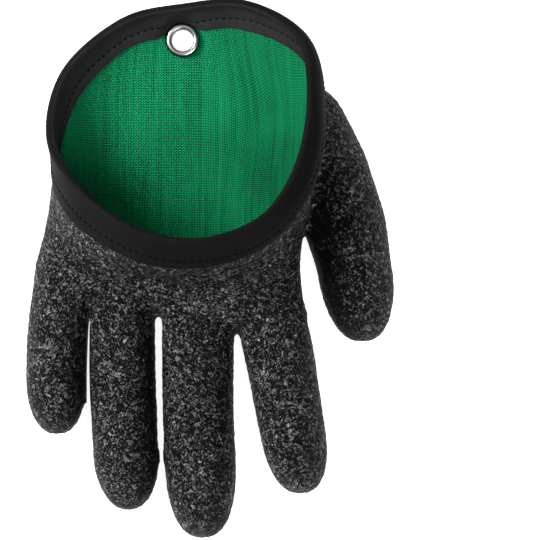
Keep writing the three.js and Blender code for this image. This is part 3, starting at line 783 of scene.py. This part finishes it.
def knit_liner():
    """The knitted inside: one smooth skin within another, which turn into each finger and the thumb."""
    liner = skin(COAT_WALL + LINER_GAP, False, LINER_VOXEL)
    hollow = skin(WALL, True, LINER_VOXEL)
    points = read_points(hollow)
    points[:, 2] += eyelet_pucker(points)
    write_points(hollow, points)
    cut(liner, hollow)
    cut(liner, eyelet_drill(DRILL), *[finger_slit(*slit, SLIT_WIDTH + 2 * COAT_WALL) for slit in SLITS])
    set_attribute(liner, "knit", knit_layout(read_points(liner)))
    name_piece(liner, "liner_skin", "knit_liner", KNIT)


def tape_puff(depth):
    """How far the tape stands out at a depth below the rim: half an ellipse, drawn in at the stitches."""
    share = depth / BINDING_WIDTH
    drawn_in = 0.2 * math.exp(-((depth - STITCH_DEPTH) / 0.75) ** 2)
    return 0.22 * math.sqrt(max(0, 4 * share * (1 - share))) - drawn_in


def tape_section():
    """The closed section of the tape as (depth, distance out) points: up the outside, over the rim in half an
    ellipse, down the inside, and back along both faces of the cuff's wall. A hem turns in at each edge."""
    outer, inner = BINDING_GAP + BINDING_WALL, -WALL - BINDING_GAP - BINDING_WALL
    middle, radius, half_wall, hem = (outer + inner) / 2, (outer - inner) / 2, BINDING_WALL / 2, 0.22
    down = [12.4, 12.1, 11.2, 10.2, 9.2, 8.6, 8.3, 8.0, 7.7, 7.4, 6.8, 5.6, 4.2, 2.8, 1.6, 0.8]
    against_wall = [0.6, 3.0, 6.0, 9.0, 12.0]
    fold = np.radians(np.linspace(0, 180, 9))
    return np.array([
        (BINDING_WIDTH + 0.1, outer - half_wall - hem), (BINDING_WIDTH + 0.15, outer - half_wall + hem * 0.6),
        *[(d, outer + tape_puff(d)) for d in down],
        *[(-BINDING_FOLD * math.sin(a), middle + radius * math.cos(a)) for a in fold],
        *[(d, inner - tape_puff(d)) for d in down[::-1]],
        (BINDING_WIDTH + 0.15, inner + half_wall - hem * 0.6), (BINDING_WIDTH + 0.1, inner + half_wall + hem),
        *[(d, inner + BINDING_WALL) for d in against_wall[::-1]],
        *[(d, BINDING_GAP) for d in against_wall],
    ])


def binding_tape():
    """The tape folded over the rim: its section swept round the cuff, with an edge that wanders a little."""
    columns = 480
    turns = np.arange(columns) / columns
    section = tape_section()
    circle = 60 * np.stack([np.cos(turns * TAU), np.sin(turns * TAU), 0 * turns], -1)
    wander = waves(circle, 30.0, 20)[:, None]
    depths = section[:, 0] * (1 + 0.006 * wander * (section[:, 0] > 10))
    rings = wall_offset(turns, depths, np.broadcast_to(section[:, 1], depths.shape))
    rings[..., 2] = np.maximum(rings[..., 2], 0.02)
    faces = [quad[::-1] for quad in grid_faces(columns, len(section), closed_rows=True)]
    tape = make("tape", rings.reshape(-1, 3), faces)
    # Where the tape's colour gets painted light: the face inside the cuff
    inside = np.zeros(rings.shape)
    inside[..., 0] = smoothstep(-WALL / 2 - section[:, 1], 0.0, WALL / 2 + BINDING_GAP + BINDING_WALL)
    set_attribute(tape, "side", inside)
    cut(tape, eyelet_drill(DRILL))
    name_piece(tape, "binding_tape", "cuff_binding", TAPE)


def stitch_row(name, out, keep_clear):
    """Short stitches along the band: each is a tube through seven rings that dips into the tape at both ends.
    They are spaced evenly by length along the band, with a little wander, and can keep clear of the eyelet."""
    samples = 4000
    dense = np.arange(samples) / samples
    line = wall_offset(dense, np.full((samples, 1), STITCH_DEPTH), np.full((samples, 1), out))[:, 0]
    closed = np.concatenate([line, line[:1]])
    run = np.concatenate([[0], np.cumsum(np.linalg.norm(np.diff(closed, axis=0), axis=-1))])
    dip = np.array([-0.24, -0.06, 0.05, 0.09, 0.05, -0.06, -0.24])
    width = STITCH_RADIUS * np.array([0.45, 0.85, 1.0, 1.0, 1.0, 0.85, 0.45])
    rings, sides = len(dip), 8
    count = int(run[-1] / STITCH_PITCH)
    starts = np.arange(count) * run[-1] / count + random.uniform(-0.08, 0.08, count)
    where = (starts[:, None] + np.linspace(0, 1, rings) * STITCH_LENGTH) % run[-1]
    turns = np.interp(where, run, np.arange(samples + 1) / samples).ravel()
    wobble = np.repeat(random.normal(size=count) * 0.08, rings)[:, None]
    depth = STITCH_DEPTH + wobble
    lift = out + math.copysign(1, out) * np.tile(dip, count)[:, None]
    middle = wall_offset(turns, depth, lift)[:, 0]
    normal = wall_normals(turns, depth)[:, 0]
    ahead = wall_offset(turns + 0.001, depth, lift)[:, 0] - middle
    ahead /= np.linalg.norm(ahead, axis=-1, keepdims=True)
    side = np.cross(ahead, normal)
    angle = (np.arange(sides) / sides * TAU)[:, None]
    thick = np.tile(width, count)[:, None, None]
    points = middle[:, None] + thick * (side[:, None] * np.cos(angle) + normal[:, None] * np.sin(angle))
    points = points.reshape(count, rings, sides, 3)
    if keep_clear:
        away = np.hypot(points[:, 3, 0, 0] - EYELET[0], points[:, 3, 0, 1] - EYELET[1])
        points = points[away > STITCH_CLEAR]
    faces = []
    for start in range(0, len(points) * rings * sides, rings * sides):
        last = start + (rings - 1) * sides
        faces += grid_faces(rings, sides, start)
        faces += [list(range(start, start + sides)), list(range(last + sides - 1, last - 1, -1))]
    name_piece(make(name, points.reshape(-1, 3), faces), name, None, THREAD)


def turned(name, node, profile):
    """A ring turned about the eyelet's upright middle line, from a closed profile of (radius, height)."""
    sides = 128
    profile = np.array(profile)
    angle = (np.arange(sides) / sides * TAU)[:, None]
    x = EYELET[0] + profile[:, 0] * np.cos(angle)
    y = EYELET[1] + profile[:, 0] * np.sin(angle)
    points = np.stack([x, y, np.broadcast_to(profile[:, 1], x.shape)], -1)
    ring = make(name, points.reshape(-1, 3), grid_faces(sides, len(profile), closed_rows=True))
    name_piece(ring, name, node, STEEL)


def eyelet():
    """The eyelet and its washer at the heights that they have in the CAD part: a domed flange on the cuff, a
    tube down through it, and a lip rolled out under the washer."""
    hole, tube, edge = EYELET_HOLE, EYELET_TUBE, EYELET_EDGE
    foot = EYELET_LIFT + CAD_WALL + CAD_CLEARANCE
    top = foot + EYELET_HEIGHT
    washer_top, washer_height = EYELET_LIFT - CAD_CLEARANCE, 0.7
    under = washer_top - washer_height - CAD_CLEARANCE
    dome = [(hole + 0.02, foot + 0.7), (hole + 0.12, foot + 1.15), (hole + 0.34, foot + 1.5),
            (hole + 0.66, top - 0.02), (hole + 0.95, top), (hole + 1.3, top - 0.05),
            (hole + 1.65, top - 0.22), (hole + 1.95, top - 0.5), (edge - 0.1, foot + 0.72),
            (edge, foot + 0.36), (edge - 0.03, foot + 0.1), (edge - 0.2, foot)]
    lip = [(tube, foot), (tube, under), (tube + 0.8, under), (tube + 1.05, under - 0.2),
           (tube + 0.95, under - 0.5), (tube + 0.5, under - 0.68), (tube, under - 0.6),
           (hole + 0.12, under - 0.4), (hole, under - 0.1), (hole, 2.2), (hole, 3.6)]
    turned("eyelet_ring", "grommet_eyelet", (dome + lip)[::-1])
    low = washer_top - washer_height
    turned("washer_ring", "grommet_washer", [
        (tube + 0.3, washer_top - 0.1), (tube + 0.4, low + 0.08), (tube + 0.6, low), (edge - 0.3, low),
        (edge, low + 0.25), (edge, washer_top - 0.15), (edge - 0.25, washer_top), (tube + 0.5, washer_top)])


latex_coat()
knit_liner()
binding_tape()
outer_face = BINDING_GAP + BINDING_WALL + 0.02
stitch_row("outer_stitches", outer_face, False)
stitch_row("inner_stitches", -WALL - outer_face, True)
eyelet()


def paper_floor():
    """The white paper under the glove. It glows, so that it stays white and shows hardly any shadow."""
    near, far, z = -FLOOR_HALF, FLOOR_HALF, FLOOR_LOW
    mesh = bpy.data.meshes.new("floor")
    mesh.from_pydata([(near, near, z), (far, near, z), (far, far, z), (near, far, z)], [], [(0, 1, 2, 3)])
    floor = bpy.data.objects.new("floor", mesh)
    bpy.context.scene.collection.objects.link(floor)
    g = new_material("paper")
    tone = g.ramp(g.noise(g.place(), 3.0), [(0.3, (0.86, 0.86, 0.86)), (0.7, (0.89, 0.89, 0.89))])
    white = (1.0, 1.0, 1.0, 1.0)
    g.surface(Base_Color=tone, Roughness=0.9, Emission_Color=white, Emission_Strength=FLOOR_GLOW)
    mesh.materials.append(g.owner)


def soft_room():
    """A grey room that is brightest towards KEY_WAY, by the cosine of the angle to it."""
    g = Graph(bpy.data.worlds.new("soft_room"), "Background")
    way = g.add("ShaderNodeTexCoord").outputs["Generated"]
    facing = g.add("ShaderNodeVectorMath", {0: way, 1: KEY_WAY}, operation="DOT_PRODUCT").outputs["Value"]
    stops = [(0.0, 0.05), (0.45, 0.12), (0.75, 0.33), (1.0, 0.8)]
    g.surface(Color=g.ramp(facing, [(place, (value,) * 3) for place, value in stops]), Strength=1.0)
    bpy.context.scene.world = g.owner


def area_light(name, place, aim, size, power):
    """A square light at a place, turned to face its aim."""
    light = bpy.data.lights.new(name, "AREA")
    light.shape = "RECTANGLE"
    light.size, light.size_y, light.energy = *size, power
    lamp = bpy.data.objects.new(name, light)
    lamp.location = place
    x, y, z = np.array(aim) - np.array(place)
    lamp.rotation_euler = (math.atan2(math.hypot(x, y), -z), 0, math.atan2(-x, y))
    bpy.context.scene.collection.objects.link(lamp)


def camera_above():
    """The camera looks straight down, as the photograph does."""
    data = bpy.data.cameras.new("camera")
    data.sensor_width = SENSOR
    data.lens = SENSOR / SEEN
    data.clip_end = 20.0
    camera = bpy.data.objects.new("camera", data)
    camera.location = CAMERA_PLACE
    bpy.context.scene.collection.objects.link(camera)
    bpy.context.scene.camera = camera
    bpy.context.scene.view_settings.view_transform = "Standard"


paper_floor()
soft_room()
area_light("key", (-0.82, 0.3, 0.68), (0, 0, 0.02), (0.45, 0.45), 16.0)
area_light("fill", (0.5, -0.65, 0.95), (0, 0, 0), (0.6, 0.5), 9.0)
camera_above()
